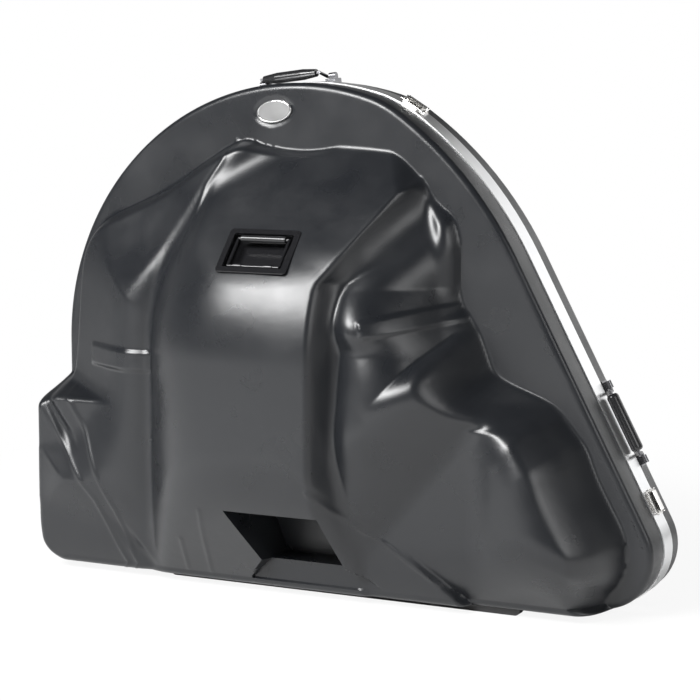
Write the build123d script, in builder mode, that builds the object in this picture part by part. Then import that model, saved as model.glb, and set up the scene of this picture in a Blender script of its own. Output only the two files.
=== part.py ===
from build123d import *
from math import atan2, cos, degrees, exp, hypot, radians, sin, sqrt, tan
import os

os.makedirs("parts", exist_ok=True)

# Frame: X to the right, Y from the front of the case to its back, Z up.
# The origin is on the floor, under the middle of the case. All sizes are in millimetres.

# Outline of the case, seen from the front: a round arch on the left, a long leaning side on the right.
# It follows the round of the horn, so its arch, shoulder and side keep their share of the width.
case_width = 1167.0
arch_radius = 0.419 * case_width
arch_top = 0.78 * case_width
shoulder_radius = 0.6024 * case_width
side_top = 0.5227 * case_width
side_lean = 27.9
shoulder_blend = 220.0
shell_bottom = 13.0
foot_radius_right = 95.0
foot_radius_left = 45.0

# Depths along Y.
front_reach = 200.0
relief_depth = 240.0
rim_front = 64.0
valance_width = 23.0
back_rim = 50.0

# Relief of the front shell: how far each form stands ahead of the flange.
panel_top = 800.0
panel_foot = 593.0
panel_reach = 192.0
panel_left = -222.0
panel_left_fall = 1.1
belly_middle = -95.0
belly_half = 150.0
belly_left_drop = 40.0
belly_left_power = 2.5
belly_right_drop = 10.0
belly_widest = 430.0
belly_bow = 46.0
belly_right = 44.0
flank_fall = 2.1
flank_foot = 572.0
flank_lean = 0.62
limb_reach = 222.0
limb_left = 150.0
limb_left_rise = 1.15
limb_top = 680.0
limb_top_rise = 1.4
limb_right = 226.0
limb_widens = 560.0
limb_spread = 0.45
limb_fall = 1.75
limb_swell = [(215, 426), (195, 374), (159, 318), (122, 300)]
swell_proud = 20.0
swell_width = 40.0
skirt_start = (100, 290)
skirt_end = (262, 480)
skirt_fall = 0.85
skirt_lift = 2.5
skirt_lead = 20.0
dome_reach = 158.0
dome_round = 125.0
dome_left = 272.0
dome_left_reach = 96.0
dome_left_rise = 0.9
dome_left_round = 100.0
form_round = 60.0
skirt_round = 70.0
crease_round = 14.0
flank_round = 6.0
valley_round = 24.0
turn_round = 50.0
column_edge = 46.0
column_reach = 142.0
column_crest_x = -366.0
block_reach = 115.0
block_top = 367.0
block_shelf = 329.0
foot_reach_left = 92.0
foot_reach_right = 58.0
edge_draft = 3.0
steepest = 4.0
relief_sink = 30.0
station_step = 27.0
relief_bottom = -2.0
relief_top = 838.0
side_margin = 17.0
band_proud = 5.0

# Hand hold pocket in the low front: its mouth and the upright lip under it.
pocket_mouth = [(-134, 168), (48, 168), (70, 66), (-94, 66)]
pocket_lip = [(-94, 66), (70, 66), (157, 8), (-150, 8)]
pocket_floor = 30.0
lip_reach = 97.0

# Raised bands moulded across the limb and the column, seen from the front.
strap_band = [(118, 511), (246, 536), (255, 506), (127, 482)]
collar_band = [(-478, 431), (-328, 427), (-328, 391), (-478, 394)]

# Walls and edge rounds.
shell_wall = 4.0
flange_round = 12.0
back_round = 16.0
valance_skin = 2.0
valance_web = 3.0
valance_lining = 1.5
tongue_inset = 1.0
tongue_width = 2.0
tongue_height = 1.5
tongue_slack = 0.6

# Oval badge on the top of the flange.
badge_x = -137.0
badge_z = 859.0
badge_tilt = 8.0
badge_width = 70.0
badge_height = 41.0
badge_border = 6.0
badge_recess = 2.5
badge_plate_thick = 3.0

# Runners that the case stands on.
runner_height = shell_bottom
runner_width = 20.0
runner_end = 9.0
front_runner_ahead = 52.0
front_runner_left = -330.0
front_runner_right = 365.0
rear_runner_gap = 5.0
rear_runner_reach = 440.0

# Recessed spring handle on the sloped panel.
dish_x = -81.0
dish_z = 622.0
dish_width = 139.0
dish_length = 96.0
dish_lip = 9.0
dish_wall = 2.0
dish_depth = 24.0
dish_round = 8.0
dish_sunk = 1.2
dish_frame = 3.2
pull_wire = 3.0
pull_width = 100.0
pull_low = -31.5
pull_high = 29.0
pull_height = -3.0
pull_grip_radius = 6.5
pull_grip_length = 86.0
clip_x = 30.0
clip_length = 14.0
clip_radius = 5.0

# Hinges under the seam.
hinge_height = 6.0
hinge_knuckle = 4.5
hinge_pin = 1.5
hinge_length = 90.0
hinge_leaf = 20.0
hinge_leaf_thick = 1.5
hinge_knuckles = 5
hinge_slack = 0.3
hinge_places = [-380.0, -20.0, 340.0]

# Draw latches across the seam, in the plane of their seat.
latch_plate_width = 48.0
latch_plate_thick = 1.6
latch_plate_near = 2.0
latch_plate_far = 21.0
latch_lift = 8.0
latch_axis = 16.0
latch_pin = 1.5
ear_thick = 2.0
ear_inner = 20.0
ear_radius = 3.6
lever_half = 18.0
lever_barrel = 3.4
lever_thick = 2.6
lever_tip = -3.0
lever_lip = 4.0
bail_axis = 7.0
bail_eye = 3.0
bail_wire = 1.3
bail_half = 20.5
bail_front = -18.0
bail_front_lift = 7.4
keeper_width = 28.0
keeper_near = -21.0
keeper_far = -5.0
keeper_rib = -16.0
keeper_rib_thick = 2.6
keeper_rib_top = 5.7

# Carrying handles on the rim, in the plane of their seat.
handle_half = 72.0
handle_axis = 44.0
handle_lift = 7.0
handle_wire = 3.0
handle_arm_half = 60.0
handle_pin_end = 79.0
bracket_width = 20.0
bracket_near = 30.0
bracket_far = 56.0
bracket_thick = 2.0
saddle_radius = 6.0
saddle_length = 14.0
grip_y = 14.0
grip_lift = 14.5
grip_half = 54.0
grip_wide = 13.0
grip_thick = 10.0
grip_end_wide = 9.0
grip_end_thick = 7.0

# Running clearance of every pin in its bore.
running = 0.05

# Foam lining of the back half, with a ring cut for the round of the horn.
foam_thick = 30.0
foam_gap = 0.5
foam_ring_inner = 300.0
foam_ring_outer = 400.0
foam_ring_deep = 18.0

flange_y = relief_depth - front_reach
seam_y = flange_y + rim_front + valance_width
back_y = seam_y + valance_width + back_rim

left_x = -case_width / 2
right_x = case_width / 2
arch_x = left_x + arch_radius
arch_z = arch_top - arch_radius
lean_x = cos(radians(side_lean))
lean_z = sin(radians(side_lean))
foot_x = right_x - foot_radius_right
foot_z = shell_bottom + foot_radius_right
side_offset = lean_x * foot_x + lean_z * foot_z + foot_radius_right


def side_x(z):
    """X of the leaning side at a height."""
    return (side_offset - lean_z * z) / lean_x


shoulder_x = side_x(side_top) - shoulder_radius * lean_x
shoulder_z = side_top - shoulder_radius * lean_z


def front_plane(y):
    """An upright plane at a depth, facing the front: sketch X is X and sketch Y is Z."""
    return Plane.XZ.offset(-y)


def across_plane(x, y, z):
    """A plane square to X at a point."""
    return Plane(origin=(x, y, z), x_dir=(0, 1, 0), z_dir=(1, 0, 0))


def arch_meets_shoulder(shrink):
    """Upper crossing of the arch circle and the shoulder circle, both made smaller by the same amount."""
    dx, dz = shoulder_x - arch_x, shoulder_z - arch_z
    gap = hypot(dx, dz)
    arch, shoulder = arch_radius - shrink, shoulder_radius - shrink
    along = (arch**2 - shoulder**2 + gap**2) / (2 * gap)
    across = sqrt(arch**2 - along**2)
    return (arch_x + (along * dx + across * dz) / gap, arch_z + (along * dz - across * dx) / gap)


def outline(grow):
    """The outline of the case as a sketch, grown outwards or, below zero, inwards."""
    meet = arch_meets_shoulder(-grow)
    rise = degrees(atan2(meet[1] - arch_z, meet[0] - arch_x))
    turn = degrees(atan2(meet[1] - shoulder_z, meet[0] - shoulder_x))
    shoulder = shoulder_radius + grow
    foot_right = foot_radius_right + grow
    foot_left = foot_radius_left + grow
    bottom = shell_bottom - grow
    left = left_x - grow
    corner_x, corner_z = left_x + foot_radius_left, shell_bottom + foot_radius_left
    side_start = (shoulder_x + shoulder * lean_x, shoulder_z + shoulder * lean_z)
    side_end = (foot_x + foot_right * lean_x, foot_z + foot_right * lean_z)
    with BuildSketch() as sketch:
        with BuildLine():
            CenterArc((arch_x, arch_z), arch_radius + grow, 180, rise - 180)
            CenterArc((shoulder_x, shoulder_z), shoulder, turn, side_lean - turn)
            Line(side_start, side_end)
            CenterArc((foot_x, foot_z), foot_right, side_lean, -90 - side_lean)
            Line((foot_x, bottom), (corner_x, bottom))
            CenterArc((corner_x, corner_z), foot_left, 270, -90)
            Line((left, corner_z), (left, arch_z))
        make_face()
        fillet(sketch.vertices().sort_by_distance((meet[0], meet[1], 0))[0], shoulder_blend + grow)
    return sketch.sketch


def higher(a, b, soft):
    """The larger of two heights, with a rounded valley between them."""
    return max(a, b) + max(soft - abs(a - b), 0) ** 2 / (4 * soft)


def lower(a, b, soft):
    """The smaller of two heights, with a rounded ridge between them."""
    return min(a, b) - max(soft - abs(a - b), 0) ** 2 / (4 * soft)


# The line on the flange where the relief starts to rise, from the block up and round to the right foot.
relief_edge = [
    (-560, 360), (-552, 412), (-545, 498), (-538, 575), (-523, 622), (-489, 661), (-434, 682), (-347, 721),
    (-283, 764), (-209, 807), (-176, 807), (-163, 799), (-106, 790), (-45, 790), (5, 805), (34, 814), (70, 811),
    (103, 790), (151, 746), (189, 708), (218, 683), (231, 648), (233, 605), (231, 536), (255, 506), (278, 451),
    (290, 415), (311, 398), (384, 372), (412, 357), (439, 325), (465, 294), (483, 245), (510, 196), (532, 157),
    (541, 124), (535, 70), (500, 35), (470, -60), (-700, -60), (-700, 340), (-600, 352),
]


def softened(points):
    """A closed chain with its corners cut twice, so that it runs round."""
    for _ in range(2):
        points = [
            (a[0] + (b[0] - a[0]) * share, a[1] + (b[1] - a[1]) * share)
            for a, b in zip(points, points[1:] + points[:1])
            for share in (0.25, 0.75)
        ]
    return points


soft_edge = softened(relief_edge)


def line_distance(points, x, z):
    """Distance from a chain of points."""
    best = 1e9
    for (ax, az), (bx, bz) in zip(points, points[1:]):
        dx, dz = bx - ax, bz - az
        share = min(max(((x - ax) * dx + (z - az) * dz) / (dx * dx + dz * dz), 0), 1)
        best = min(best, hypot(x - ax - share * dx, z - az - share * dz))
    return best


def edge_distance(x, z):
    """Distance from the relief's edge, positive inside it."""
    inside = False
    for (ax, az), (bx, bz) in zip(soft_edge, soft_edge[1:] + soft_edge[:1]):
        if (az > z) != (bz > z) and x < ax + (z - az) / (bz - az) * (bx - ax):
            inside = not inside
    best = line_distance(soft_edge + soft_edge[:1], x, z)
    return best if inside else -best


def chamfer_height(x, z):
    """The low front turns under: a face that leans back towards the floor, stepped along the crease."""
    crease = (x - 49) * 0.677 + (z - 225) * 0.736
    left = foot_reach_left + (z - shell_bottom) * 0.733
    right = foot_reach_right + (z - shell_bottom) * 0.93
    share = min(max(crease / 14 + 0.5, 0), 1)
    return left + (right - left) * share


def belly_height(x, z):
    """The central barrel under the sloped panel, with its steep right flank."""
    panel = (panel_top - z) * panel_reach / (panel_top - panel_foot)
    left = max(belly_middle - x, 0) / belly_half
    right = max(x - belly_middle, 0) / belly_half
    above = max(z - belly_widest, 0) / (panel_foot - belly_widest)
    crown = relief_depth - belly_left_drop * left**belly_left_power - belly_right_drop * right**2 - belly_bow * above**2
    front = lower(crown, panel - panel_left_fall * max(panel_left - x, 0), crease_round)
    beyond = x - belly_right - flank_lean * max(z - flank_foot, 0)
    return front - flank_fall * higher(beyond, 0, flank_round)


def limb_height(x, z):
    """The limb at the right of the panel, which rises out of the flange and falls away to the right."""
    dx, dz = skirt_end[0] - skirt_start[0], skirt_end[1] - skirt_start[1]
    beyond = ((x - skirt_start[0]) * dz - (z - skirt_start[1]) * dx) / hypot(dx, dz)
    top = (limb_top - z) * limb_top_rise
    fall = (limb_right + limb_spread * max(limb_widens - z, 0) - x) * limb_fall
    fall += skirt_lift * max(beyond + skirt_lead, 0)
    skirt = limb_reach - skirt_fall * beyond
    left = limb_left + (x - belly_right) * limb_left_rise
    front = lower(limb_reach, left, form_round)
    front += swell_proud * exp(-((line_distance(limb_swell, x, z) / swell_width) ** 2))
    return lower(lower(lower(front, top, form_round), fall, form_round), skirt, skirt_round)


def dome_height(x, z, inside):
    """The dome over the right foot, round all the way to its edge."""
    round_up = dome_reach * sqrt(1 - min(max(1 - inside / dome_round, 0), 1) ** 2)
    left = (x - dome_left) * dome_left_rise + dome_left_reach
    return lower(round_up, left, dome_left_round)


def column_height(x, z, inside):
    """The column at the left, which bends over towards the top of the panel."""
    left = column_edge + (inside - column_edge / edge_draft) * 0.58
    crest = lower(left, column_reach, 30)
    right = column_reach + (column_crest_x - x) * 0.55
    low = foot_reach_left + (z - shell_bottom) * 0.4
    return lower(lower(crest, right, 20), low, 30)


def block_height(x, z):
    """The block at the lower left, with the groove along its slanted edge."""
    top = (block_top - z) * block_reach / (block_top - block_shelf)
    ridge = (x + 586) * 0.81 + (z - 329) * 0.587
    groove = -14 * max(1 - abs(ridge - 16) / 16, 0)
    return lower(block_reach, top, 14) + groove


def relief(x, z):
    """How far the front shell stands ahead of its flange. Below zero, the flange itself shows."""
    inside = edge_distance(x, z)
    forms = higher(belly_height(x, z), limb_height(x, z), valley_round)
    forms = higher(forms, dome_height(x, z, max(inside, 0)), valley_round)
    forms = higher(forms, column_height(x, z, max(inside, 0)), valley_round)
    forms = higher(forms, block_height(x, z), crease_round)
    forms = lower(forms, chamfer_height(x, z), turn_round)
    return max(lower(forms, inside * edge_draft, 20), -relief_sink)


def set_in(x, z, depth):
    """The relief moved inwards by a wall, square to its surface."""
    reach = 2.0
    slope_x = (relief(x + reach, z) - relief(x - reach, z)) / (2 * reach)
    slope_z = (relief(x, z + reach) - relief(x, z - reach)) / (2 * reach)
    return relief(x, z) - depth * min(sqrt(1 + slope_x**2 + slope_z**2), steepest)


def spaced(low, high, step):
    """Evenly spaced values from low to high, about a step apart."""
    count = max(round((high - low) / step), 2)
    return [low + (high - low) * i / count for i in range(count + 1)]


def relief_loft(depth, x_low, x_high, z_low, z_high):
    """A solid behind the relief, lofted through upright stations across the case."""
    behind = flange_y + rim_front
    heights = spaced(z_low, z_high, station_step)
    shares = [i / (len(heights) - 1) for i in range(len(heights))]
    stations = []
    for x in spaced(x_low, x_high, station_step):
        with BuildSketch(across_plane(x, 0, 0)) as station:
            with BuildLine():
                profile = [Vector(flange_y - set_in(x, z, depth), z) for z in heights]
                add(Edge.make_spline(profile, parameters=shares))
                Polyline(profile[-1], (behind, z_high), (behind, z_low), profile[0])
            make_face()
        stations.append(station.sketch.face())
    with BuildPart() as body:
        loft(stations, ruled=True)
    return body.part


def slab(y_near, y_far, grow):
    """A solid of the case's outline between two depths."""
    with BuildPart() as body:
        with BuildSketch(front_plane(y_far)):
            add(outline(grow))
        extrude(amount=y_far - y_near)
    return body.part


def rounded_slab(y_near, y_far, grow, y_round, radius):
    """A slab with the edge at one of its two faces rounded."""
    with BuildPart() as body:
        add(slab(y_near, y_far, grow))
        fillet(body.faces().filter_by(Plane.XZ).filter_by_position(Axis.Y, y_round - 1, y_round + 1).edges(), radius)
    return body.part


def front_prism(points, y_near, y_far, grow):
    """A straight prism through the front, from a polygon seen from the front."""
    with BuildPart() as body:
        with BuildSketch(front_plane(y_far)):
            with BuildLine():
                Polyline(*points, close=True)
            make_face()
            if grow:
                offset(amount=grow, kind=Kind.INTERSECTION)
        extrude(amount=y_far - y_near)
    return body.part


def relief_mound(depth):
    """The relief inside the outline, set in by a depth: the outside at 0, the hollow at the wall."""
    bulk = relief_loft(depth, left_x - side_margin, right_x + side_margin, relief_bottom, relief_top)
    return bulk & slab(flange_y - relief_depth - side_margin, flange_y + rim_front / 2, -depth)


def raised_band(points):
    """A raised band across the relief, in a strip seen from the front."""
    low = [min(p[i] for p in points) - station_step for i in (0, 1)]
    high = [max(p[i] for p in points) + station_step for i in (0, 1)]
    proud = relief_loft(-band_proud, low[0], high[0], low[1], high[1])
    return proud & front_prism(points, flange_y - relief_depth - side_margin, flange_y + rim_front / 2, 0)


def seat(x, z, angle):
    """A plane on the outline at the seam: X runs along the rim, Y to the back, Z straight out."""
    across, up = cos(radians(angle)), sin(radians(angle))
    return Plane(origin=(x, seam_y, z), x_dir=(up, 0, -across), z_dir=(across, 0, up))


def seat_on_arc(centre, radius, angle):
    """A seat on a round stretch of the outline."""
    return seat(centre[0] + radius * cos(radians(angle)), centre[1] + radius * sin(radians(angle)), angle)


def side_seat(z):
    """A seat on the leaning side at a height."""
    return seat(side_x(z), z, side_lean)


# Seats of the four latches and of the two carrying handles.
blend_centre = arch_meets_shoulder(shoulder_blend)
latch_seats = {
    "upper_right": seat_on_arc(blend_centre, shoulder_blend, 58.6),
    "lower_right": side_seat(190),
    "upper_left": seat_on_arc((arch_x, arch_z), arch_radius, 132),
    "lower_left": seat(left_x, 190, 180),
}
handle_seats = {
    "top": seat_on_arc((arch_x, arch_z), arch_radius, 97),
    "side": side_seat(318),
}
panel_slope = degrees(atan2(panel_reach, panel_top - panel_foot))
dish_plane = Plane(
    origin=(dish_x, flange_y - (panel_top - dish_z) * tan(radians(panel_slope)), dish_z),
    x_dir=(1, 0, 0),
    z_dir=(0, -cos(radians(panel_slope)), sin(radians(panel_slope))),
)
tub_width = dish_width - 2 * dish_lip
tub_length = dish_length - 2 * dish_lip


def dish_block(width, length, low, high, radius):
    """A rounded block square to the sloped panel, between two heights over it."""
    with BuildPart(dish_plane.offset(low)) as body:
        with BuildSketch(dish_plane.offset(low)):
            RectangleRounded(width, length, radius)
        extrude(amount=high - low)
    return body.part


def badge_oval(y_near, y_far, grow):
    """An upright oval block at the badge."""
    with BuildPart() as body:
        with BuildSketch(front_plane(y_far)):
            with Locations((badge_x, badge_z)):
                Ellipse(badge_width / 2 + grow, badge_height / 2 + grow, rotation=badge_tilt)
        extrude(amount=y_far - y_near)
    return body.part


# Front shell: the rim, the relief with its bands, and the thin wall left by the hollow behind them.
shell_edge_front = seam_y - valance_web
pocket_back = flange_y - pocket_floor
with BuildPart() as front_shell:
    add(rounded_slab(flange_y, shell_edge_front, 0, flange_y, flange_round))
    add(relief_mound(0))
    add(raised_band(strap_band))
    add(raised_band(collar_band))
    add(
        rounded_slab(flange_y + shell_wall, seam_y, -shell_wall, flange_y + shell_wall, flange_round - shell_wall),
        mode=Mode.SUBTRACT,
    )
    add(
        relief_mound(shell_wall)
        - front_prism(pocket_mouth, flange_y - relief_depth, pocket_back, shell_wall)
        - front_prism(pocket_lip, flange_y - relief_depth, flange_y - lip_reach + shell_wall, shell_wall),
        mode=Mode.SUBTRACT,
    )
    add(front_prism(pocket_mouth, flange_y - relief_depth, pocket_back - shell_wall, 0), mode=Mode.SUBTRACT)
    add(front_prism(pocket_lip, flange_y - relief_depth, flange_y - lip_reach, 0), mode=Mode.SUBTRACT)
    add(dish_block(dish_width, dish_length, -dish_sunk, dish_depth, dish_round), mode=Mode.SUBTRACT)
    add(dish_block(tub_width, tub_length, -dish_depth, 0, dish_round - dish_wall), mode=Mode.SUBTRACT)
    add(badge_oval(flange_y - 1, flange_y + badge_recess, badge_border), mode=Mode.SUBTRACT)
front_shell.part.label = "front_shell"


def valance(y_open, y_web):
    """The channel that grips a shell's edge: an outer skin, an inner skin and the web at the seam."""
    near, far = min(y_open, y_web), max(y_open, y_web)
    inside = -shell_wall - valance_lining
    edge = y_web + (valance_web if y_open > y_web else -valance_web)
    with BuildPart() as body:
        add(slab(near, far, valance_skin))
        add(slab(near, far, inside), mode=Mode.SUBTRACT)
        with BuildSketch(front_plane(max(y_open, edge))):
            add(outline(0))
            add(outline(-shell_wall), mode=Mode.SUBTRACT)
        extrude(amount=abs(y_open - edge), mode=Mode.SUBTRACT)
    return body.part


def seam_ring(grow, reach):
    """A ring on the seam's plane, reaching back: the tongue, or with slack the groove for it."""
    with BuildPart() as body:
        with BuildSketch(front_plane(seam_y + reach)):
            add(outline(-tongue_inset + grow))
            add(outline(-tongue_inset - tongue_width - grow), mode=Mode.SUBTRACT)
        extrude(amount=reach)
    return body.part


with BuildPart() as front_valance:
    add(valance(seam_y - valance_width, seam_y))
    add(seam_ring(0, tongue_height))
front_valance.part.label = "front_valance"

with BuildPart() as back_valance:
    add(valance(seam_y + valance_width, seam_y))
    add(seam_ring(tongue_slack, tongue_height + tongue_slack), mode=Mode.SUBTRACT)
back_valance.part.label = "back_valance"

# Back shell: a shallow plain tray.
with BuildPart() as back_shell:
    add(rounded_slab(seam_y + valance_web, back_y, 0, back_y, back_round))
    add(
        rounded_slab(seam_y, back_y - shell_wall, -shell_wall, back_y - shell_wall, back_round - shell_wall),
        mode=Mode.SUBTRACT,
    )
back_shell.part.label = "back_shell"

with BuildPart() as badge_plate:
    add(badge_oval(flange_y + badge_recess - badge_plate_thick, flange_y + badge_recess, 0))
    chamfer(badge_plate.faces().sort_by(Axis.Y)[0].edges(), badge_plate_thick / 4)
badge_plate.part.label = "badge_plate"


def runner(x_left, x_right, y_near):
    """A bar under the case, with rounded ends, that it stands on."""
    with BuildPart() as body:
        with BuildSketch(front_plane(y_near + runner_width)) as profile:
            with Locations(((x_left + x_right) / 2, runner_height / 2)):
                Rectangle(x_right - x_left, runner_height)
            fillet(profile.vertices().group_by(Axis.Y)[0], runner_end)
        extrude(amount=runner_width)
    return body.part


with BuildPart() as front_runner:
    add(runner(front_runner_left, front_runner_right, flange_y - front_runner_ahead))
front_runner.part.label = "front_runner"

with BuildPart() as rear_runner:
    add(runner(-rear_runner_reach, rear_runner_reach, seam_y + valance_width + rear_runner_gap))
rear_runner.part.label = "rear_runner"


def seat_box(x_half, x_middle, y_near, y_far, z_low, z_high):
    """A box in the frame of a seat."""
    size = (2 * x_half, y_far - y_near, z_high - z_low)
    middle = (x_middle, (y_near + y_far) / 2, (z_low + z_high) / 2)
    return Box(*size, mode=Mode.PRIVATE).moved(Location(middle))


def seat_rod(y, z, radius, x_half, x_middle):
    """A round bar along the rim in the frame of a seat."""
    return Cylinder(radius, 2 * x_half, rotation=(0, 90, 0), mode=Mode.PRIVATE).moved(Location((x_middle, y, z)))


# Hinges: three long knuckled leaves under the seam, with their pins.
knuckle_pitch = hinge_length / hinge_knuckles
leaf_high = shell_bottom - valance_skin
leaf_low = leaf_high - hinge_leaf_thick
leaf_clear = sqrt((hinge_knuckle + hinge_slack) ** 2 - (leaf_low - hinge_height) ** 2)


def hinge_leaf_piece(way, first, bore):
    """One leaf of a hinge about its own middle: every other knuckle, from the first, and its tab."""
    with BuildPart() as body:
        add(seat_box(hinge_length / 2, 0, *sorted((way * leaf_clear, way * hinge_leaf)), leaf_low, leaf_high))
        for i in range(first, hinge_knuckles, 2):
            x = (i - (hinge_knuckles - 1) / 2) * knuckle_pitch
            half = (knuckle_pitch - hinge_slack) / 2
            add(seat_box(half, x, *sorted((way * hinge_slack, way * leaf_clear)), leaf_low, leaf_high))
            add(seat_rod(0, hinge_height, hinge_knuckle, half, x))
        add(seat_rod(0, hinge_height, bore, hinge_length, 0), mode=Mode.SUBTRACT)
    return body.part


hinge_locations = [Location((x, seam_y, 0)) for x in hinge_places]
with BuildPart() as hinge_lid_leaves:
    for place in hinge_locations:
        add(hinge_leaf_piece(-1, 1, hinge_pin + running).moved(place))
hinge_lid_leaves.part.label = "hinge_lid_leaves"

with BuildPart() as hinge_base_leaves:
    for place in hinge_locations:
        add(hinge_leaf_piece(1, 0, hinge_pin).moved(place))
hinge_base_leaves.part.label = "hinge_base_leaves"

with BuildPart() as hinge_pins:
    for place in hinge_locations:
        add(seat_rod(0, hinge_height, hinge_pin, hinge_length / 2, 0).moved(place))
hinge_pins.part.label = "hinge_pins"


# Draw latch pieces, each in the frame of its seat.
def latch_plate_piece():
    """Base plate with two ears for the lever's pin."""
    with BuildPart() as body:
        top = valance_skin + latch_plate_thick
        add(seat_box(latch_plate_width / 2, 0, latch_plate_near, latch_plate_far, -valance_skin, top))
        for way in (-1, 1):
            x = way * (ear_inner + ear_thick / 2)
            add(seat_box(ear_thick / 2, x, latch_axis - ear_radius, latch_axis + ear_radius, 0, latch_lift))
            add(seat_rod(latch_axis, latch_lift, ear_radius, ear_thick / 2, x))
        add(seat_rod(latch_axis, latch_lift, latch_pin, latch_plate_width, 0), mode=Mode.SUBTRACT)
    return body.part


def latch_lever_piece():
    """Lever: the barrel on its pin, the eye for the bail, the cover plate and the finger lip."""
    with BuildPart() as body:
        add(seat_rod(latch_axis, latch_lift, lever_barrel, lever_half, 0))
        add(seat_rod(bail_axis, latch_lift, bail_eye, lever_half, 0))
        with BuildSketch(across_plane(-lever_half, 0, 0)):
            with BuildLine():
                top = latch_lift + lever_barrel
                Polyline(
                    (latch_axis, top - lever_thick),
                    (latch_axis, top),
                    (lever_tip, top),
                    (lever_tip - lever_lip, top + lever_lip),
                    (lever_tip - lever_lip - lever_thick / 2, top + lever_lip - lever_thick / 2),
                    (lever_tip, top - lever_thick),
                    close=True,
                )
            make_face()
        extrude(amount=2 * lever_half)
        add(seat_rod(latch_axis, latch_lift, latch_pin + running, latch_plate_width, 0), mode=Mode.SUBTRACT)
        add(seat_rod(bail_axis, latch_lift, bail_wire + running, latch_plate_width, 0), mode=Mode.SUBTRACT)
    return body.part


def latch_bail_piece():
    """Wire bail: a closed loop through the lever's eye and over the keeper."""
    with BuildPart() as body:
        with BuildLine() as path:
            Polyline(
                (0, bail_axis, latch_lift),
                (bail_half, bail_axis, latch_lift),
                (bail_half, bail_front, bail_front_lift),
                (-bail_half, bail_front, bail_front_lift),
                (-bail_half, bail_axis, latch_lift),
                close=True,
            )
        with BuildSketch(across_plane(0, bail_axis, latch_lift)):
            Circle(bail_wire)
        sweep(path=path.wire(), transition=Transition.RIGHT)
    return body.part


def keeper_piece():
    """Keeper plate on the lid with the rib that the bail hooks."""
    with BuildPart() as body:
        top = valance_skin + latch_plate_thick
        add(seat_box(keeper_width / 2, 0, keeper_near, keeper_far, -valance_skin, top))
        rib = seat_box(keeper_width / 2, 0, keeper_rib, keeper_rib + keeper_rib_thick, 0, keeper_rib_top)
        add(rib)
        fillet(body.faces().sort_by(Axis.Z)[-1].edges().filter_by(Axis.X), keeper_rib_thick / 3)
    return body.part


with BuildPart() as latch_plates:
    for place in latch_seats.values():
        add(latch_plate_piece().moved(place.location))
    add(slab(seam_y, back_y, valance_skin), mode=Mode.SUBTRACT)
latch_plates.part.label = "latch_plates"

with BuildPart() as keeper_plates:
    for place in latch_seats.values():
        add(keeper_piece().moved(place.location))
    add(slab(seam_y - valance_width, seam_y, valance_skin), mode=Mode.SUBTRACT)
keeper_plates.part.label = "keeper_plates"

with BuildPart() as latch_pins:
    for place in latch_seats.values():
        add(seat_rod(latch_axis, latch_lift, latch_pin, ear_inner + ear_thick, 0).moved(place.location))
latch_pins.part.label = "latch_pins"

latch_levers = {}
latch_bails = {}
for name, place in latch_seats.items():
    with BuildPart() as lever:
        add(latch_lever_piece().moved(place.location))
    lever.part.label = "latch_lever_" + name
    latch_levers[name] = lever.part
    with BuildPart() as bail:
        add(latch_bail_piece().moved(place.location))
    bail.part.label = "latch_bail_" + name
    latch_bails[name] = bail.part


# Carrying handle pieces, each in the frame of its seat.
def bracket_pieces():
    """The two end brackets of a handle: a plate shaped to the rim and the saddle over the wire."""
    with BuildPart() as body:
        for way in (-1, 1):
            x = way * handle_half
            add(seat_box(bracket_width / 2, x, bracket_near, bracket_far, -bracket_width / 2, bracket_thick))
            add(seat_box(saddle_length / 2, x, handle_axis - saddle_radius, handle_axis + saddle_radius, 0, handle_lift))
            add(seat_rod(handle_axis, handle_lift, saddle_radius, saddle_length / 2, x))
        add(seat_rod(handle_axis, handle_lift, handle_wire + running, 2 * handle_half, 0), mode=Mode.SUBTRACT)
    return body.part


def handle_loop_piece():
    """The bent wire that turns in the brackets and carries the grip."""
    with BuildPart() as body:
        with BuildLine() as path:
            Polyline(
                (-handle_pin_end, handle_axis, handle_lift),
                (-handle_arm_half, handle_axis, handle_lift),
                (-handle_arm_half, grip_y, grip_lift),
                (handle_arm_half, grip_y, grip_lift),
                (handle_arm_half, handle_axis, handle_lift),
                (handle_pin_end, handle_axis, handle_lift),
            )
        with BuildSketch(across_plane(-handle_pin_end, handle_axis, handle_lift)):
            Circle(handle_wire)
        sweep(path=path.wire(), transition=Transition.RIGHT)
    return body.part


def handle_grip_piece():
    """The moulded grip: an oval bar, thinner at its ends, round the wire."""
    with BuildPart() as body:
        for x, wide, thick in (
            (-grip_half, grip_end_wide, grip_end_thick),
            (-grip_half / 2, grip_wide, grip_thick),
            (grip_half / 2, grip_wide, grip_thick),
            (grip_half, grip_end_wide, grip_end_thick),
        ):
            with BuildSketch(across_plane(x, grip_y, grip_lift)):
                Ellipse(wide, thick)
        loft(ruled=True)
        add(seat_rod(grip_y, grip_lift, handle_wire, 2 * grip_half, 0), mode=Mode.SUBTRACT)
    return body.part


handle_parts = {}
for name, place in handle_seats.items():
    with BuildPart() as brackets:
        add(bracket_pieces().moved(place.location))
        add(slab(seam_y, back_y, 0), mode=Mode.SUBTRACT)
    with BuildPart() as wire:
        add(handle_loop_piece().moved(place.location))
    with BuildPart() as grip:
        add(handle_grip_piece().moved(place.location))
    handle_parts[name + "_handle_brackets"] = brackets.part
    handle_parts[name + "_handle_wire"] = wire.part
    handle_parts[name + "_handle_grip"] = grip.part
for name, piece in handle_parts.items():
    piece.label = name

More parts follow.
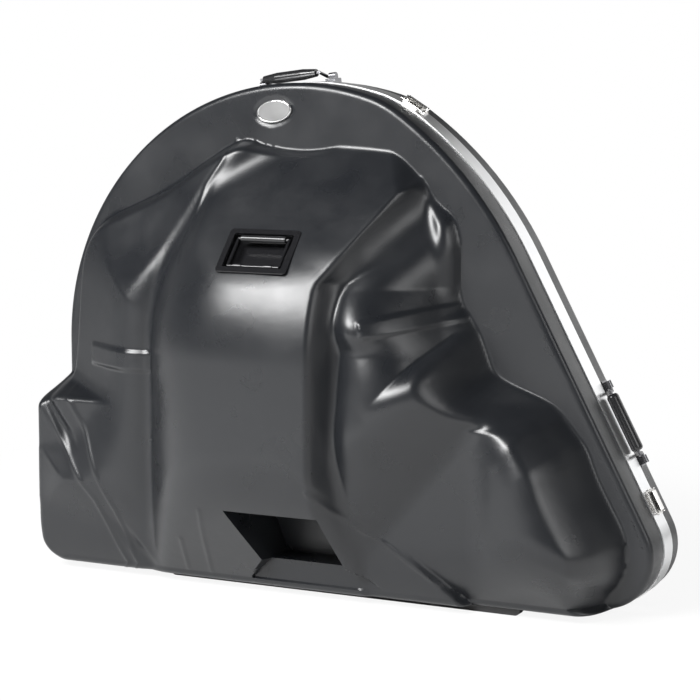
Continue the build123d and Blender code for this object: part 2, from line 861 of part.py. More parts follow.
# Recessed spring handle: the dish with its frame, the clips, the wire loop and the grip.
with BuildPart() as spring_handle_dish:
    add(dish_block(dish_width, dish_length, -dish_sunk, dish_frame - dish_sunk, dish_round))
    chamfer(spring_handle_dish.faces().sort_by(Axis(dish_plane.origin, dish_plane.z_dir))[-1].edges(), dish_frame / 4)
    add(dish_block(tub_width, tub_length, -dish_depth, 0, dish_round - dish_wall))
    inner = dish_block(
        tub_width - 2 * dish_wall,
        tub_length - 2 * dish_wall,
        dish_wall - dish_depth,
        dish_frame,
        dish_round - 2 * dish_wall,
    )
    add(inner, mode=Mode.SUBTRACT)
spring_handle_dish.part.label = "spring_handle_dish"

with BuildPart() as pull_loop:
    with BuildLine() as pull_path:
        Polyline(
            (0, pull_low, pull_height),
            (pull_width / 2, pull_low, pull_height),
            (pull_width / 2, pull_high, pull_height),
            (-pull_width / 2, pull_high, pull_height),
            (-pull_width / 2, pull_low, pull_height),
            close=True,
        )
    with BuildSketch(across_plane(0, pull_low, pull_height)):
        Circle(pull_wire)
    sweep(path=pull_path.wire(), transition=Transition.ROUND)
with BuildPart() as spring_handle_loop:
    add(pull_loop.part.moved(dish_plane.location))
spring_handle_loop.part.label = "spring_handle_loop"

with BuildPart() as spring_handle_grip:
    sleeve = seat_rod(pull_high, pull_height, pull_grip_radius, pull_grip_length / 2, 0)
    core = seat_rod(pull_high, pull_height, pull_wire, pull_grip_length, 0)
    add((sleeve - core).moved(dish_plane.location))
spring_handle_grip.part.label = "spring_handle_grip"

with BuildPart() as clips:
    for way in (-1, 1):
        add(seat_rod(pull_low, pull_height, clip_radius, clip_length / 2, way * clip_x))
        foot = seat_box(
            clip_length / 2,
            way * clip_x,
            pull_low - clip_radius,
            pull_low + clip_radius,
            dish_wall - dish_depth,
            pull_height,
        )
        add(foot)
    add(seat_rod(pull_low, pull_height, pull_wire + running, pull_width, 0), mode=Mode.SUBTRACT)
with BuildPart() as spring_handle_clips:
    add(clips.part.moved(dish_plane.location))
spring_handle_clips.part.label = "spring_handle_clips"

# Foam bed in the back half.
foam_near = back_y - shell_wall - foam_thick
with BuildPart() as foam_bed:
    add(
        rounded_slab(
            foam_near,
            back_y - shell_wall,
            -shell_wall - foam_gap,
            back_y - shell_wall,
            back_round - shell_wall,
        )
    )
    with BuildSketch(front_plane(foam_near + foam_ring_deep)):
        with Locations((arch_x, arch_z)):
            Circle(foam_ring_outer)
            Circle(foam_ring_inner, mode=Mode.SUBTRACT)
    extrude(amount=foam_ring_deep, mode=Mode.SUBTRACT)
foam_bed.part.label = "foam_bed"

finished = [
    front_shell.part,
    front_valance.part,
    badge_plate.part,
    front_runner.part,
    keeper_plates.part,
    hinge_lid_leaves.part,
    spring_handle_dish.part,
    spring_handle_clips.part,
    spring_handle_loop.part,
    spring_handle_grip.part,
    back_shell.part,
    back_valance.part,
    rear_runner.part,
    hinge_base_leaves.part,
    hinge_pins.part,
    latch_plates.part,
    latch_pins.part,
    foam_bed.part,
]
finished += latch_levers.values()
finished += latch_bails.values()
finished += handle_parts.values()
for piece in finished:
    export_step(piece, "parts/" + piece.label + ".step")
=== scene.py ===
import math
from contextlib import contextmanager

import bpy
import numpy as np
from mathutils import Matrix, Vector


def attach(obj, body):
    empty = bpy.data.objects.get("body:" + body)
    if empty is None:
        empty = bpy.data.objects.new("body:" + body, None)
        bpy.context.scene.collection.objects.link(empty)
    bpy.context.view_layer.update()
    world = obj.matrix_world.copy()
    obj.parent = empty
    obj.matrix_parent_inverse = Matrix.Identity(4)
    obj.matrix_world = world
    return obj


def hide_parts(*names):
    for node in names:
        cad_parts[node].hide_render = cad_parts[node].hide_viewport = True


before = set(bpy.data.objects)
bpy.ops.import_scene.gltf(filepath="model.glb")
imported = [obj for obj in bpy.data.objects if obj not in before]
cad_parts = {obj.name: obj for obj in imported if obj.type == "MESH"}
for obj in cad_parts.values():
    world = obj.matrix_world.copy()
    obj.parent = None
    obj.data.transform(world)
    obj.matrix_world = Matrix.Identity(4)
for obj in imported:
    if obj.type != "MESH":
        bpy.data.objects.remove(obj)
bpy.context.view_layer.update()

# X runs to the right, Y from the front of the case to its back, and Z up.
# The case is worked out in millimetres, the studio in metres.
MM = 0.001

# Outline of the case, seen from the front: a round arch on the left, a long leaning side on the right.
case_width = 1167.0
arch_radius = 0.419 * case_width
arch_top = 0.78 * case_width
shoulder_radius = 0.6024 * case_width
side_top = 0.5227 * case_width
side_lean = math.radians(27.9)
shoulder_blend = 220.0
shell_bottom = 13.0
foot_radius_right = 95.0
foot_radius_left = 45.0
left_x = -case_width / 2
right_x = case_width / 2
arch_x = left_x + arch_radius
arch_z = arch_top - arch_radius
foot_x = right_x - foot_radius_right
foot_z = shell_bottom + foot_radius_right
lean_x = math.cos(side_lean)
lean_z = math.sin(side_lean)
side_offset = lean_x * foot_x + lean_z * foot_z + foot_radius_right

# A point in the middle of the case, from which its outline is looked up by direction.
hub_x, hub_z = -40.0, 400.0

# Depths along Y, walls and edge rounds.
flange_y = 40.0
relief_depth = 240.0
seam_edge = 124.0
shell_wall = 4.0
flange_round = 12.0

# How finely the outline and the skin are drawn.
arc_step = 2.0
fewest_arc_steps = 8
outline_step = 1.5
outer_cell = 3.4
outer_margin = 2.0
outer_rings = 7
inner_cell = 9.0
inner_margin = 5.0
inner_rings = 4
seam_ring = 20.0
evened_half = 6
cut_margin = 12.0
cut_threshold = 0.00001
shell_crease = math.radians(50)


def side_x(z):
    """X of the leaning side at a height."""
    return (side_offset - lean_z * z) / lean_x


shoulder_x = side_x(side_top) - shoulder_radius * lean_x
shoulder_z = side_top - shoulder_radius * lean_z


def circles_meet(shrink):
    """Upper crossing of the arch circle and the shoulder circle, both made smaller."""
    dx, dz = shoulder_x - arch_x, shoulder_z - arch_z
    gap = math.hypot(dx, dz)
    arch, shoulder = arch_radius - shrink, shoulder_radius - shrink
    along = (arch**2 - shoulder**2 + gap**2) / (2 * gap)
    across = math.sqrt(arch**2 - along**2)
    return (arch_x + (along * dx + across * dz) / gap, arch_z + (along * dz - across * dx) / gap)


def outline_points(grow):
    """Even points round the outline, clockwise from the left, grown outwards or, below zero, inwards."""
    blend = circles_meet(shoulder_blend)
    start = math.atan2(blend[1] - arch_z, blend[0] - arch_x)
    end = math.atan2(blend[1] - shoulder_z, blend[0] - shoulder_x)
    low_left = (left_x + foot_radius_left, shell_bottom + foot_radius_left)
    stretches = [
        ((arch_x, arch_z), arch_radius, math.pi, start),
        (blend, shoulder_blend, start, end),
        ((shoulder_x, shoulder_z), shoulder_radius, end, side_lean),
        ((foot_x, foot_z), foot_radius_right, side_lean, -math.pi / 2),
        (low_left, foot_radius_left, -math.pi / 2, -math.pi),
    ]
    points = []
    for (x, z), radius, first, last in stretches:
        steps = max(int(abs(last - first) * radius / arc_step), fewest_arc_steps)
        for angle in np.linspace(first, last, steps):
            points.append((x + (radius + grow) * math.cos(angle), z + (radius + grow) * math.sin(angle)))
    points.append(points[0])
    points = np.array(points)
    run = np.concatenate([[0], np.cumsum(np.hypot(*np.diff(points, axis=0).T))])
    even = np.linspace(0, run[-1], int(run[-1] / outline_step))
    return np.stack([np.interp(even, run, points[:, i]) for i in (0, 1)], 1)[:-1]


def hub_angle(x, z):
    """Direction of a point from the hub in the middle of the case."""
    return np.arctan2(z - hub_z, x - hub_x)


class Outline:
    """The case's outline, grown or shrunk, looked up by its direction from the hub."""

    def __init__(self, grow):
        points = outline_points(grow)
        angle = hub_angle(*points.T)
        order = np.argsort(angle)
        self.angle = angle[order]
        self.points = points[order]

    def at(self, angle):
        """The outline's point in a direction."""
        return np.stack([np.interp(angle, self.angle, c, period=2 * math.pi) for c in self.points.T], 1)

    def holds(self, x, z, margin):
        """True for points inside the outline by a margin."""
        edge = self.at(hub_angle(x, z))
        return np.hypot(x - hub_x, z - hub_z) < np.hypot(edge[:, 0] - hub_x, edge[:, 1] - hub_z) - margin


def higher(a, b, soft):
    """The larger of two heights, with a rounded valley between them."""
    return np.maximum(a, b) + np.maximum(soft - np.abs(a - b), 0) ** 2 / (4 * soft)


def lower(a, b, soft):
    """The smaller of two heights, with a rounded ridge between them."""
    return np.minimum(a, b) - np.maximum(soft - np.abs(a - b), 0) ** 2 / (4 * soft)


def rise(value, start, end):
    """A smooth step from 0 at start to 1 at end."""
    share = np.clip((value - start) / (end - start), 0, 1)
    return share * share * (3 - 2 * share)


def line_distance(points, x, z):
    """Distance from a chain of points."""
    best = np.full(np.shape(x), np.inf)
    for (ax, az), (bx, bz) in zip(points, points[1:]):
        dx, dz = bx - ax, bz - az
        share = np.clip(((x - ax) * dx + (z - az) * dz) / (dx * dx + dz * dz), 0, 1)
        best = np.minimum(best, np.hypot(x - ax - share * dx, z - az - share * dz))
    return best


def inside_distance(points, x, z):
    """Distance from a closed chain of points, positive inside it."""
    closed = points + points[:1]
    inside = np.zeros(np.shape(x), bool)
    for (ax, az), (bx, bz) in zip(closed, closed[1:]):
        if az != bz:
            inside ^= ((az > z) != (bz > z)) & (x < ax + (z - az) / (bz - az) * (bx - ax))
    return np.where(inside, 1, -1) * line_distance(closed, x, z)


def softened(points):
    """A closed chain with its corners cut twice, so that it runs round."""
    for _ in range(2):
        points = [
            (a[0] + (b[0] - a[0]) * share, a[1] + (b[1] - a[1]) * share)
            for a, b in zip(points, points[1:] + points[:1])
            for share in (0.25, 0.75)
        ]
    return points


# The line on the flange where the relief starts to rise, from the block up and round to the right foot.
relief_edge = softened([
    (-560, 360), (-552, 412), (-545, 498), (-538, 575), (-523, 622), (-489, 661), (-434, 682),
    (-347, 721), (-283, 764), (-209, 807), (-176, 807), (-163, 799), (-106, 790), (-45, 790), (5, 805),
    (34, 814), (70, 811), (103, 790), (151, 746), (189, 708), (218, 683), (231, 648), (233, 605),
    (231, 536), (255, 506), (278, 451), (290, 415), (311, 398), (384, 372), (412, 357), (439, 325),
    (465, 294), (483, 245), (510, 196), (532, 157), (541, 124), (535, 70), (500, 35), (470, -60),
    (-700, -60), (-700, 340), (-600, 352),
])

# Relief of the front shell: how far each form stands ahead of the flange, and how steep its sides are.
panel_top = 800.0
panel_foot = 593.0
panel_reach = 192.0
panel_left = -222.0
panel_left_fall = 1.1
panel_slope = math.atan2(panel_reach, panel_top - panel_foot)
belly_middle = -95.0
belly_half = 150.0
belly_left_drop = 40.0
belly_left_power = 2.5
belly_right_drop = 10.0
belly_widest = 430.0
belly_bow = 46.0
belly_right = 44.0
flank_fall = 2.1
flank_foot = 572.0
flank_lean = 0.62
limb_reach = 222.0
limb_crown = 8.0
limb_left = 150.0
limb_left_rise = 1.15
limb_top = 680.0
limb_top_rise = 1.4
limb_right = 226.0
limb_widens = 560.0
limb_spread = 0.45
limb_fall = 1.75
limb_swell = [(215, 426), (195, 374), (159, 318), (122, 300)]
swell_proud = 18.0
swell_width = 50.0
dome_reach = 158.0
dome_round = 125.0
dome_left = 272.0
dome_left_reach = 96.0
dome_left_rise = 0.9
column_edge = 46.0
column_edge_rise = 0.58
column_reach = 142.0
column_crest_x = -366.0
column_right_fall = 0.55
column_low_rise = 0.4
block_reach = 115.0
block_top = 367.0
block_shelf = 329.0
edge_draft = 3.0

# The limb's front is set back below its strap, more and more upwards, and no longer above the strap.
waist_deep = 48.0
waist_foot = 235.0
waist_full = 450.0
strap_foot = 452.0
strap_top = 520.0

# The limb's skirt falls away beyond a slanted line.
skirt_start = (100, 290)
skirt_end = (262, 480)
skirt_length = 249.7
skirt_fall = 0.85
skirt_lift = 2.5
skirt_lead = 20.0

# The low front turns under, by other slopes on the two sides of a slanted crease.
foot_reach_left = 92.0
foot_reach_right = 58.0
foot_rise_left = 0.733
foot_rise_right = 0.93
crease_x, crease_z = 49.0, 225.0
crease_across = (0.677, 0.736)
crease_half = 5.0

# The groove beside the slanted edge of the block.
groove_x, groove_z = -586.0, 329.0
groove_across = (0.81, 0.587)
groove_middle = 16.0
groove_half = 18.0
groove_deep = 9.0

# How softly the forms run into each other: the larger, the softer.
crease_round = 14.0
flank_round = 6.0
form_round = 60.0
limb_round = 110.0
dome_left_round = 100.0
column_round = 30.0
column_right_round = 20.0
turn_round = 50.0
flange_blend = 6.0

# Between the belly and the limb the valley gets softer upwards, and the relief's edge softer to the right.
valley_round = 24.0
valley_softens = 90.0
valley_low, valley_high = 540.0, 630.0
edge_round = 20.0
edge_softens = 45.0
edge_left, edge_right = 150.0, 200.0

# Raised bands moulded across the limb and the column.
strap_band = [(118, 511), (246, 536), (255, 506), (127, 482)]
collar_band = [(-478, 431), (-328, 427), (-328, 391), (-478, 394)]
band_proud = 5.0
band_edge = 2.5
band_fade = 8.0

# Hand hold pocket in the low front: its mouth and the upright lip under it.
pocket_mouth = [(-134, 168), (48, 168), (70, 66), (-94, 66)]
pocket_lip = [(-94, 66), (70, 66), (157, 8), (-150, 8)]
pocket_reach = 34.0
lip_reach = 97.0

# Recess for the dish of the spring handle, square to the sloped panel.
dish_x, dish_z = -81.0, 622.0
dish_half_width = 60.5
dish_half_length = 39.0
dish_deep = 26.0
dish_edge_out = 3.5
dish_edge_in = 1.5

# Oval badge on the top of the flange, its recess and its rim.
badge_x, badge_z = -137.0, 859.0
badge_tilt = math.radians(8.0)
badge_half_width, badge_half_height = 35.0, 20.5
badge_groove = 5.0
badge_sunk = 2.5
badge_edge = 0.06
rim_inset = 2.0
rim_radius = 1.9
rim_proud = 0.1

# Fine raised lines that the mould leaves on the skin, each with its height.
mould_lines = [
    ([(152, 743), (142, 716), (126, 695), (96, 651), (75, 613), (61, 593), (46, 569)], 3.4),
    ([(-213, 806), (-214, 773), (-240, 728), (-254, 666), (-259, 623), (-253, 595)], 2.2),
    ([(40, 219), (65, 182), (102, 142), (167, 99), (236, 53)], 3.2),
    ([(-524, 344), (-474, 272), (-405, 130), (-372, 16)], 2.6),
    ([(-578, 342), (-531, 256), (-445, 146), (-392, 16)], 2.6),
    ([(-185, 162), (-200, 100), (-214, 30)], 1.6),
    ([(-250, 96), (-262, 30)], 1.6),
]
line_half = 3.6

# Grip of the side handle, as a bar along the leaning side.
grip_half_wide = 12.9
grip_half_thick = 10.4
grip_length = 108.0
grip_end_round = 6.0
grip_middle = (497.6, 141.0, 325.1)


def chamfer_height(x, z):
    """The low front turns under, with a step along the slanted crease."""
    crease = (x - crease_x) * crease_across[0] + (z - crease_z) * crease_across[1]
    left = foot_reach_left + (z - shell_bottom) * foot_rise_left
    right = foot_reach_right + (z - shell_bottom) * foot_rise_right
    return left + (right - left) * rise(crease, -crease_half, crease_half)


def belly_height(x, z):
    """The central barrel under the sloped panel, with its steep right flank."""
    panel = (panel_top - z) * panel_reach / (panel_top - panel_foot)
    left = np.maximum(belly_middle - x, 0) / belly_half
    right = np.maximum(x - belly_middle, 0) / belly_half
    above = np.maximum(z - belly_widest, 0) / (panel_foot - belly_widest)
    crown = relief_depth - belly_left_drop * left**belly_left_power
    crown = crown - belly_right_drop * right**2 - belly_bow * above**2
    shoulder = panel - panel_left_fall * np.maximum(panel_left - x, 0)
    flank = x - belly_right - flank_lean * np.maximum(z - flank_foot, 0)
    return lower(crown, shoulder, crease_round) - flank_fall * higher(flank, 0, flank_round)


def limb_height(x, z):
    """The limb at the right of the panel, which rises out of the flange and falls away to the right."""
    dx, dz = skirt_end[0] - skirt_start[0], skirt_end[1] - skirt_start[1]
    beyond = ((x - skirt_start[0]) * dz - (z - skirt_start[1]) * dx) / skirt_length
    top = (limb_top - z) * limb_top_rise
    fall = (limb_right + limb_spread * np.maximum(limb_widens - z, 0) - x) * limb_fall
    fall = fall + skirt_lift * np.maximum(beyond + skirt_lead, 0)
    skirt = limb_reach - skirt_fall * beyond
    left = limb_left + (x - belly_right) * limb_left_rise
    below_strap = 1 - rise(z, strap_foot, strap_top)
    waist = waist_deep * np.clip((z - waist_foot) / (waist_full - waist_foot), 0, 1) * below_strap
    front = lower(limb_reach + limb_crown - waist, left, form_round)
    front = front + swell_proud * np.exp(-(line_distance(limb_swell, x, z) / swell_width) ** 2)
    return lower(lower(lower(front, top, limb_round), fall, limb_round), skirt, limb_round)


def dome_height(x, inside):
    """The dome over the right foot, round all the way to its edge."""
    round_up = dome_reach * np.sqrt(1 - np.clip(1 - inside / dome_round, 0, 1) ** 2)
    left = (x - dome_left) * dome_left_rise + dome_left_reach
    return lower(round_up, left, dome_left_round)


def column_height(x, z, inside):
    """The column at the left, which bends over towards the top of the panel."""
    left = column_edge + (inside - column_edge / edge_draft) * column_edge_rise
    crest = lower(left, column_reach, column_round)
    right = column_reach + (column_crest_x - x) * column_right_fall
    low = foot_reach_left + (z - shell_bottom) * column_low_rise
    return lower(lower(crest, right, column_right_round), low, column_round)


def block_height(x, z):
    """The block at the lower left, with the groove along its slanted edge."""
    top = (block_top - z) * block_reach / (block_top - block_shelf)
    across = (x - groove_x) * groove_across[0] + (z - groove_z) * groove_across[1]
    groove = groove_deep * rise(1 - np.abs(across - groove_middle) / groove_half, 0, 1)
    return lower(block_reach, top, crease_round) - groove


def band_height(points, x, z):
    """How far a raised band stands up at a point."""
    return band_proud * rise(inside_distance(points, x, z), -band_edge, band_edge)


def relief(x, z):
    """How far the front shell stands ahead of its flange."""
    inside = inside_distance(relief_edge, x, z)
    from_edge = np.maximum(inside, 0)
    valley = valley_round + valley_softens * rise(z, valley_low, valley_high)
    edge = edge_round + edge_softens * rise(x, edge_left, edge_right)
    forms = higher(belly_height(x, z), limb_height(x, z), valley)
    forms = higher(forms, dome_height(x, from_edge), valley_round)
    forms = higher(forms, column_height(x, z, from_edge), valley_round)
    forms = higher(forms, block_height(x, z), crease_round)
    forms = lower(forms, chamfer_height(x, z), turn_round)
    forms = lower(forms, inside * edge_draft, edge)
    forms = higher(forms, 0, flange_blend)
    bands = band_height(strap_band, x, z) + band_height(collar_band, x, z)
    return forms + bands * rise(forms, 0, band_fade)


def mould_line_height(x, z):
    """How far the fine lines stand up from the skin."""
    found = np.zeros(np.shape(x))
    for chain, high in mould_lines:
        found = np.maximum(found, high * np.exp(-(line_distance(chain, x, z) / line_half) ** 2))
    return found


def handle_recess(x, z):
    """How far the skin goes back under the dish of the spring handle."""
    along = (z - dish_z) / math.sin(panel_slope)
    across = x - dish_x
    inside = np.minimum(dish_half_width - np.abs(across), dish_half_length - np.abs(along))
    return rise(inside, -dish_edge_out, dish_edge_in) * dish_deep / math.cos(panel_slope)


def badge_recess(x, z):
    """How far the skin goes back round the badge."""
    across = (x - badge_x) * math.cos(badge_tilt) + (z - badge_z) * math.sin(badge_tilt)
    along = (z - badge_z) * math.cos(badge_tilt) - (x - badge_x) * math.sin(badge_tilt)
    reach = np.hypot(across / (badge_half_width + badge_groove), along / (badge_half_height + badge_groove))
    return badge_sunk * rise(1 - reach, -badge_edge, badge_edge)


def skin_height(x, z):
    """The relief as the outer side shows it, with its fine lines and the recesses for handle and badge."""
    return relief(x, z) + mould_line_height(x, z) - handle_recess(x, z) - badge_recess(x, z)


def skin_with_pocket(x, z):
    """The outer side with the hand pocket cut into it."""
    height = skin_height(x, z)
    height = np.where(inside_distance(pocket_lip, x, z) > 0, np.minimum(height, lip_reach), height)
    return np.where(inside_distance(pocket_mouth, x, z) > 0, pocket_reach, height)


def inner_height(x, z):
    """The inner side: a wall behind the lowest of the outer side around each point."""
    around = (-inner_cell, 0, inner_cell)
    found = [skin_with_pocket(x + dx, z + dz) for dx in around for dz in around]
    return np.min(found, axis=0) - shell_wall


def deselect():
    """Nothing selected, in object mode."""
    bpy.ops.object.select_all(action="DESELECT")


def make_active(*objects):
    """Selects these objects only, the first one active."""
    deselect()
    for piece in objects:
        piece.select_set(True)
    bpy.context.view_layer.objects.active = objects[0]


@contextmanager
def editing(piece, kind):
    """Edit mode on one piece, where what is selected is of one kind: VERT, EDGE or FACE."""
    make_active(piece)
    bpy.ops.object.mode_set(mode="EDIT")
    bpy.ops.mesh.select_mode(type=kind)
    yield
    bpy.ops.object.mode_set(mode="OBJECT")


def extrude_in_place():
    """Extrudes what is selected, for its new corner points to be placed afterwards."""
    bpy.ops.mesh.extrude_region_move(TRANSFORM_OT_translate={"value": (0, 0, 0)})


def corners(piece):
    """The corner points of a piece's mesh, in millimetres."""
    flat = np.empty(len(piece.data.vertices) * 3)
    piece.data.vertices.foreach_get("co", flat)
    return flat.reshape(-1, 3) / MM


def set_corners(piece, points):
    """Moves the corner points of a piece's mesh."""
    piece.data.vertices.foreach_set("co", (np.asarray(points) * MM).ravel())
    piece.data.update()


def face_centres(piece):
    """X and Z of the middle of each face, in millimetres."""
    flat = np.empty(len(piece.data.polygons) * 3)
    piece.data.polygons.foreach_get("center", flat)
    return flat.reshape(-1, 3)[:, [0, 2]] / MM


def faces_inside(piece, chain):
    """Marks the faces whose middle lies inside a closed chain."""
    return inside_distance(chain, *face_centres(piece).T) > 0


def pick_corners(piece, chosen):
    """Selects corner points by a mask, from object mode."""
    piece.data.polygons.foreach_set("select", np.zeros(len(piece.data.polygons), bool))
    piece.data.edges.foreach_set("select", np.zeros(len(piece.data.edges), bool))
    piece.data.vertices.foreach_set("select", np.asarray(chosen, bool))


def pick_none(piece):
    """Selects nothing of a mesh, from object mode."""
    pick_corners(piece, np.zeros(len(piece.data.vertices), bool))


def pick_faces(piece, chosen):
    """Selects faces by a mask, from object mode."""
    pick_none(piece)
    piece.data.polygons.foreach_set("select", np.asarray(chosen, bool))


def loose_edges(piece):
    """Marks the edges that bound a mesh."""
    loops = np.empty(len(piece.data.loops), int)
    piece.data.loops.foreach_get("edge_index", loops)
    return np.bincount(loops, minlength=len(piece.data.edges)) == 1


def pick_loose_edges(piece):
    """Selects the edges that bound a mesh, from object mode."""
    pick_none(piece)
    piece.data.edges.foreach_set("select", loose_edges(piece))


def edge_ends(piece):
    """The two corner numbers of each edge."""
    ends = np.empty(len(piece.data.edges) * 2, int)
    piece.data.edges.foreach_get("vertices", ends)
    return ends.reshape(-1, 2)


def rim_loop(piece):
    """The corner numbers round the one loop of edges that bounds a mesh, in order."""
    ends = edge_ends(piece)[loose_edges(piece)]
    beside = {}
    for a, b in ends:
        beside.setdefault(a, []).append(b)
        beside.setdefault(b, []).append(a)
    order = [ends[0][0], beside[ends[0][0]][0]]
    while len(order) < len(ends):
        first, second = beside[order[-1]]
        order.append(second if first == order[-2] else first)
    return np.array(order)


def sheet_inside(name, cell, margin):
    """A flat grid of square cells, kept where it lies inside the start of the rim's round by a margin."""
    columns = int(case_width / cell) + 2
    rows = int((arch_top - shell_bottom) / cell) + 2
    deselect()
    bpy.ops.mesh.primitive_grid_add(x_subdivisions=columns, y_subdivisions=rows, size=1, location=(0, 0, 0))
    piece = bpy.context.object
    piece.name = name
    # The new grid is one metre wide, so its corner points in metres are shares of the whole.
    share = corners(piece) * MM
    x = share[:, 0] * columns * cell
    z = share[:, 1] * rows * cell + (arch_top + shell_bottom) / 2
    set_corners(piece, np.stack([x, np.zeros_like(x), z], 1))
    pick_corners(piece, ~Outline(-flange_round).holds(x, z, margin))
    with editing(piece, "VERT"):
        bpy.ops.mesh.delete(type="VERT")
        bpy.ops.mesh.select_all(action="SELECT")
        bpy.ops.mesh.delete_loose()
    return piece


def plane_cuts(piece, chain):
    """Cuts a flat sheet along the sides of a closed chain, near the chain only."""
    low = np.min(chain, axis=0) - cut_margin
    high = np.max(chain, axis=0) + cut_margin
    for (ax, az), (bx, bz) in zip(chain, chain[1:] + chain[:1]):
        length = math.hypot(bx - ax, bz - az)
        middle = face_centres(piece)
        pick_faces(piece, np.all((middle > low) & (middle < high), axis=1))
        with editing(piece, "FACE"):
            bpy.ops.mesh.bisect(
                plane_co=(ax * MM, 0, az * MM),
                plane_no=((bz - az) / length, 0, (ax - bx) / length),
                use_fill=False,
                clear_inner=False,
                clear_outer=False,
                threshold=cut_threshold,
            )


def part_off(piece, chosen_faces):
    """Extrudes faces in place and gives back a mask of their corner points."""
    pick_faces(piece, chosen_faces)
    with editing(piece, "FACE"):
        extrude_in_place()
    moved = np.empty(len(piece.data.vertices), bool)
    piece.data.vertices.foreach_get("select", moved)
    return moved


def evened(angle):
    """Directions round a rim, each the mean of its neighbours', which evens out a trimmed grid's edge."""
    turn = np.sign(angle[-1] - angle[0]) * 2 * math.pi
    wide = np.concatenate([angle[-evened_half:] - turn, angle, angle[:evened_half] + turn])
    window = 2 * evened_half + 1
    return np.convolve(wide, np.full(window, 1 / window), "valid")


def draw_rim(piece, rings):
    """Extrudes a sheet's rim ring by ring. Each has how far the outline grows and a depth by direction."""
    for number, (grow, depth) in enumerate(rings):
        pick_loose_edges(piece)
        with editing(piece, "EDGE"):
            extrude_in_place()
        order = rim_loop(piece)
        placed = corners(piece)
        angle = np.unwrap(hub_angle(placed[order, 0], placed[order, 2]))
        if number == 0:
            angle = evened(angle)
        edge = Outline(grow).at(angle)
        placed[order] = np.stack([edge[:, 0], depth(angle), edge[:, 1]], 1)
        set_corners(piece, placed)


def side_rings(height, radius, inset, count):
    """The rings from a sheet's rim round the edge of the flange and back to the seam."""
    start = Outline(-flange_round)

    def around(turn):
        """A ring part of the way round, whose depth follows the sheet where the round starts."""
        back = radius * (1 - math.cos(turn))

        def depth(angle):
            edge = start.at(angle)
            return flange_y - height(edge[:, 0], edge[:, 1]) + back

        return (radius * (math.sin(turn) - 1) - inset, depth)

    def along(ahead):
        """A ring on the upright side, a set distance ahead of the seam."""
        return (-inset, lambda angle: np.full(len(angle), seam_edge - ahead))

    turns = np.linspace(0, 1, count) * math.pi / 2
    return [around(turn) for turn in turns] + [along(seam_ring), along(0)]


def outer_side():
    """The outer side of the front shell, with the upright walls of the hand pocket."""
    outer = sheet_inside("front_shell_skin", outer_cell, outer_margin)
    plane_cuts(outer, pocket_mouth)
    plane_cuts(outer, pocket_lip)
    in_mouth = part_off(outer, faces_inside(outer, pocket_mouth))
    flat = corners(outer)
    on_lip = np.zeros(len(flat), bool)
    for number in np.nonzero(faces_inside(outer, pocket_lip))[0]:
        on_lip[list(outer.data.polygons[number].vertices)] = True
    height = skin_height(flat[:, 0], flat[:, 2])
    height = np.where(on_lip & ~in_mouth, np.minimum(height, lip_reach), height)
    height = np.where(in_mouth, pocket_reach, height)
    flat[:, 1] = flange_y - height
    set_corners(outer, flat)
    return outer


def inner_side():
    """The inner side of the front shell."""
    inner = sheet_inside("front_shell_inner", inner_cell, inner_margin)
    flat = corners(inner)
    flat[:, 1] = flange_y - inner_height(flat[:, 0], flat[:, 2])
    set_corners(inner, flat)
    return inner


def join(*pieces):
    """Joins pieces into the first one."""
    make_active(*pieces)
    bpy.ops.object.join()
    return bpy.context.object


def close_seam(piece):
    """Fills the flat edge between the outer and the inner wall, and turns all faces outwards."""
    pick_loose_edges(piece)
    with editing(piece, "EDGE"):
        bpy.ops.mesh.fill(use_beauty=False)
        bpy.ops.mesh.select_all(action="SELECT")
        bpy.ops.mesh.normals_make_consistent(inside=False)


def front_shell_skin():
    """The thermoformed front: outer side, rounded rim, seam edge and inner side as one closed wall."""
    outer = outer_side()
    inner = inner_side()
    draw_rim(outer, side_rings(skin_height, flange_round, 0.0, outer_rings))
    draw_rim(inner, side_rings(inner_height, flange_round - shell_wall, shell_wall, inner_rings))
    whole = join(outer, inner)
    close_seam(whole)
    make_active(whole)
    bpy.ops.object.shade_smooth_by_angle(angle=shell_crease)
    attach(whole, "lid")
    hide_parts("front_shell")
    return whole


def badge_rim():
    """The raised bright rim of the oval badge."""
    half_width, half_height = badge_half_width - rim_inset, badge_half_height - rim_inset
    deselect()
    bpy.ops.mesh.primitive_torus_add(
        major_segments=72,
        minor_segments=12,
        major_radius=half_width * MM,
        minor_radius=rim_radius * MM,
        location=(badge_x * MM, (flange_y - rim_proud) * MM, badge_z * MM),
        rotation=(math.pi / 2, -badge_tilt, 0),
    )
    rim = bpy.context.object
    rim.name = "badge_rim"
    rim.scale = (1, half_height / half_width, 1)
    bpy.ops.object.transform_apply(location=True, rotation=True, scale=True)
    bpy.ops.object.shade_smooth()
    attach(rim, "lid")
    return rim


def side_grip():
    """The side handle's grip: a moulded oval bar of one thickness with rounded ends."""
    deselect()
    bpy.ops.mesh.primitive_cylinder_add(vertices=48, radius=1.0, depth=1.0)
    grip = bpy.context.object
    grip.name = "side_handle_grip_bar"
    grip.scale = (grip_half_wide * MM, grip_half_thick * MM, grip_length * MM)
    bpy.ops.object.transform_apply(location=False, rotation=False, scale=True)
    bevel = grip.modifiers.new("rounded_ends", "BEVEL")
    bevel.width = grip_end_round * MM
    bevel.segments = 5
    bevel.angle_limit = math.radians(60)
    bpy.ops.object.modifier_apply(modifier=bevel.name)
    turned = Matrix(((0, lean_x, -lean_z), (-1, 0, 0), (0, lean_z, lean_x)))
    grip.matrix_world = Matrix.Translation(Vector(grip_middle) * MM) @ turned.to_4x4()
    bpy.ops.object.transform_apply(location=True, rotation=True, scale=True)
    bpy.ops.object.shade_smooth_by_angle(angle=math.radians(40))
    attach(grip, "side_handle")
    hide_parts("side_handle_grip")
    return grip


